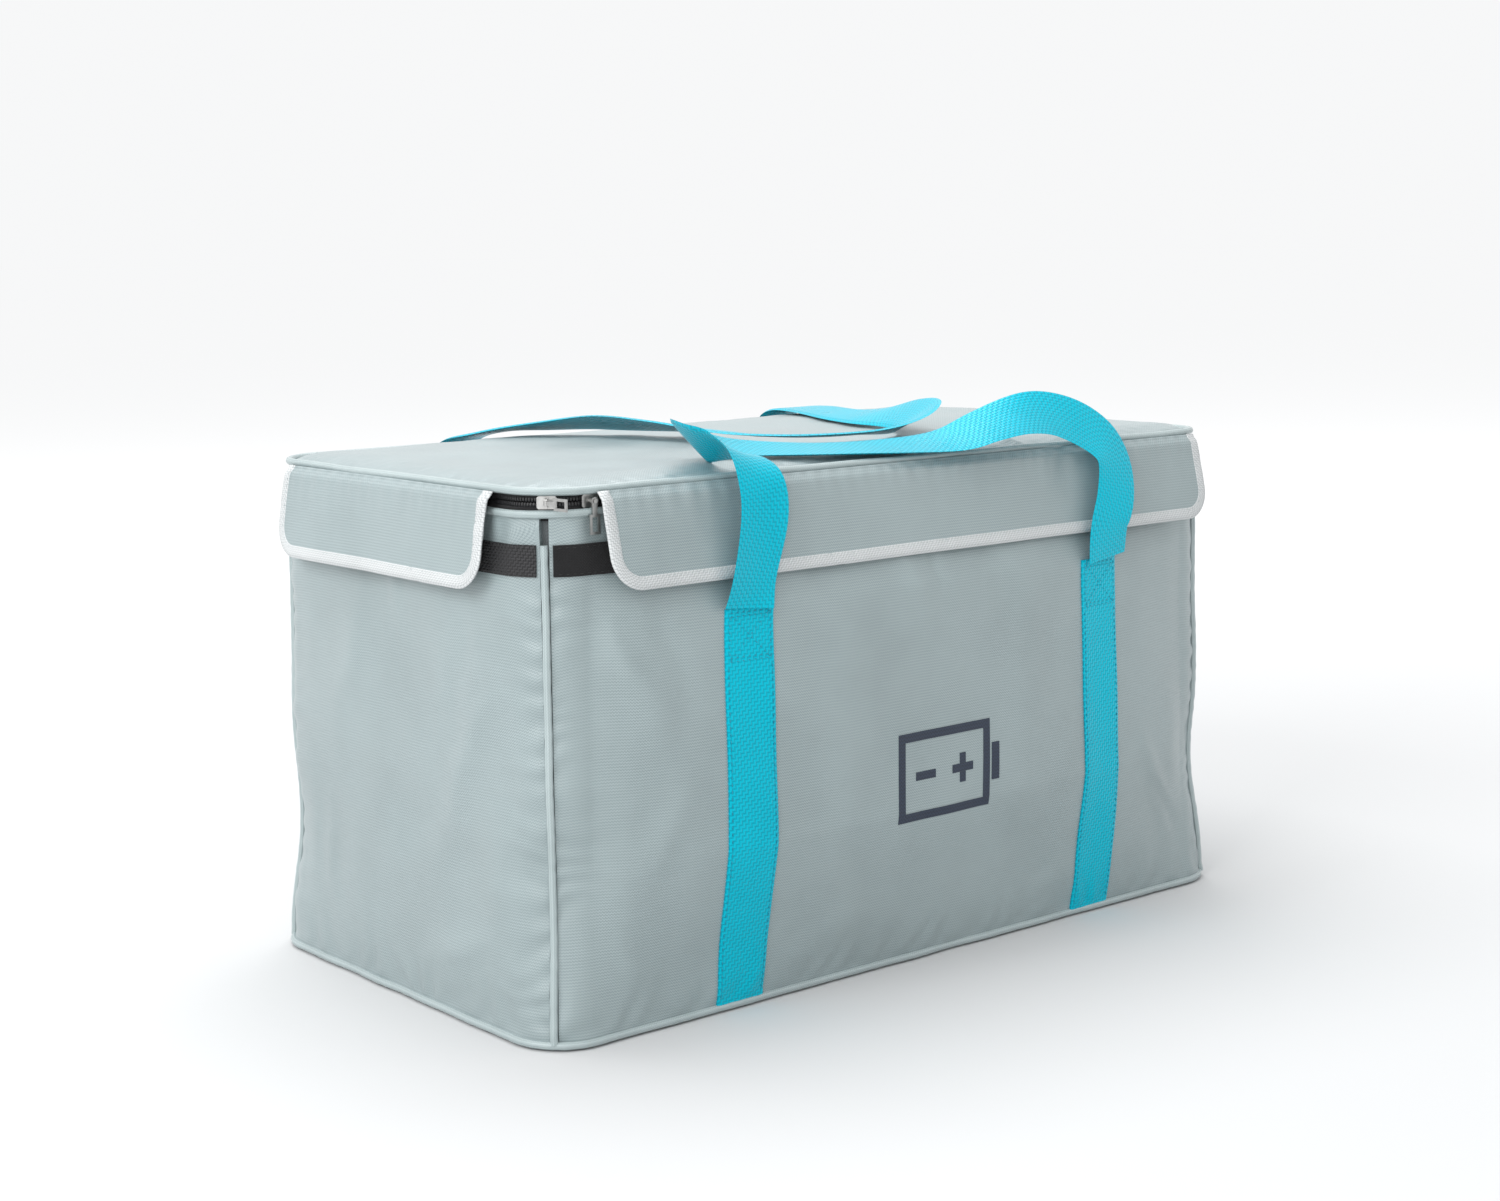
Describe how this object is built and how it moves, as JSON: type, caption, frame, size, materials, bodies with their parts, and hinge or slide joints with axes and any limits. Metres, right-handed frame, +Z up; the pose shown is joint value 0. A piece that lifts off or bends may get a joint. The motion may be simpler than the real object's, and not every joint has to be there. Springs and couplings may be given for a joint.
{
  "type": "battery storage bag",
  "caption": "Soft-sided padded storage bag in coated silver fabric with a zipped lid, hook-and-loop flaps and turquoise webbing handles",
  "frame": {"origin": "on the floor under the middle of the base", "axes": "X along the long side, front faces -Y, Z up"},
  "size_m": [0.645, 0.377, 0.3782],
  "materials": {
    "coated_fabric": "satin coated weave",
    "lining_fabric": "matt woven lining",
    "felt": "thick felt",
    "base_board": "stiff sheet",
    "piping": "coated fabric over cord",
    "turquoise_webbing": "ribbed webbing",
    "pale_binding": "woven tape",
    "loop_tape": "plush loops",
    "hook_tape": "stiff hooks",
    "zip_tape": "woven tape",
    "zip_teeth": "moulded coil",
    "slider_metal": "plated"
  },
  "bodies": {
    "bag": {"base_panel": "coated_fabric", "base_board": "base_board", "base_liner": "lining_fabric", "base_piping": "piping", "front_panel": "coated_fabric", "back_panel": "coated_fabric", "left_panel": "coated_fabric", "right_panel": "coated_fabric", "front_pad": "felt", "back_pad": "felt", "left_pad": "felt", "right_pad": "felt", "front_liner": "lining_fabric", "back_liner": "lining_fabric", "left_liner": "lining_fabric", "right_liner": "lining_fabric", "front_left_piping": "piping", "front_right_piping": "piping", "back_left_piping": "piping", "back_right_piping": "piping", "rim_piping": "piping", "hinge_strip": "coated_fabric", "hinge_seam": "piping", "front_band": "loop_tape", "left_band": "hook_tape", "right_band": "loop_tape", "front_left_strap": "turquoise_webbing", "front_right_strap": "turquoise_webbing", "back_left_strap": "turquoise_webbing", "back_right_strap": "turquoise_webbing", "lower_zip_tape": "zip_tape", "lower_zip_teeth": "zip_teeth", "zip_end_stops": "zip_tape"},
    "lid": {"lid_panel": "coated_fabric", "lid_pad": "felt", "lid_liner": "lining_fabric", "lid_piping": "piping", "upper_zip_tape": "zip_tape", "upper_zip_teeth": "zip_teeth"},
    "front_flap": {"front_flap": "coated_fabric", "front_flap_binding": "pale_binding", "front_flap_fastener": "hook_tape"},
    "left_flap": {"left_flap": "coated_fabric", "left_flap_binding": "pale_binding", "left_flap_fastener": "hook_tape"},
    "right_flap": {"right_flap": "coated_fabric", "right_flap_binding": "pale_binding", "right_flap_fastener": "hook_tape"},
    "front_handle": {"front_handle": "turquoise_webbing"},
    "back_handle": {"back_handle": "turquoise_webbing"},
    "corner_slider": {"corner_slider": "slider_metal"},
    "corner_slider_pull": {"corner_slider_pull": "slider_metal"},
    "front_slider": {"front_slider": "slider_metal"},
    "front_slider_pull": {"front_slider_pull": "slider_metal"}
  },
  "joints": [
    {"name": "lid_hinge", "type": "hinge", "parent": "bag", "child": "lid", "pos_m": [0, 0.161, 0.34], "axis": [-1, 0, 0], "range_deg": [0, 95], "deforming": ["front_handle", "back_handle"]},
    {"name": "front_handle_swing", "type": "hinge", "parent": "bag", "child": "front_handle", "pos_m": [0, -0.18417, 0.26], "axis": [1, 0, 0], "range_deg": [0, 165]},
    {"name": "back_handle_swing", "type": "hinge", "parent": "bag", "child": "back_handle", "pos_m": [0, 0.18417, 0.26], "axis": [-1, 0, 0], "range_deg": [0, 165]},
    {"name": "front_flap_hinge", "type": "hinge", "parent": "lid", "child": "front_flap", "pos_m": [0, -0.1672, 0.3386], "axis": [-1, 0, 0], "range_deg": [0, 50]},
    {"name": "left_flap_hinge", "type": "hinge", "parent": "lid", "child": "left_flap", "pos_m": [-0.3082, 0, 0.3386], "axis": [0, 1, 0], "range_deg": [0, 150]},
    {"name": "right_flap_hinge", "type": "hinge", "parent": "lid", "child": "right_flap", "pos_m": [0.3082, 0, 0.3386], "axis": [0, -1, 0], "range_deg": [0, 150]},
    {"name": "corner_slider_turn", "type": "hinge", "parent": "bag", "child": "corner_slider", "pos_m": [-0.266, -0.125, 0.33325], "axis": [0, 0, 1], "range_deg": [-44, 0]},
    {"name": "corner_pull_swing", "type": "hinge", "parent": "corner_slider", "child": "corner_slider_pull", "pos_m": [-0.29246, -0.15439, 0.33325], "axis": [0, 0, 1], "range_deg": [-50, 15]},
    {"name": "front_slider_slide", "type": "slide", "parent": "bag", "child": "front_slider", "axis": [1, 0, 0], "range_m": [0, 0.52]},
    {"name": "front_pull_swing", "type": "hinge", "parent": "front_slider", "child": "front_slider_pull", "pos_m": [-0.2645, -0.16455, 0.33325], "axis": [0, 1, 0], "range_deg": [-60, 60]}
  ],
  "couplings": [
    {"joint": "front_flap_hinge", "follows": "front_handle_swing", "ratio": 0.30303}
  ]
}
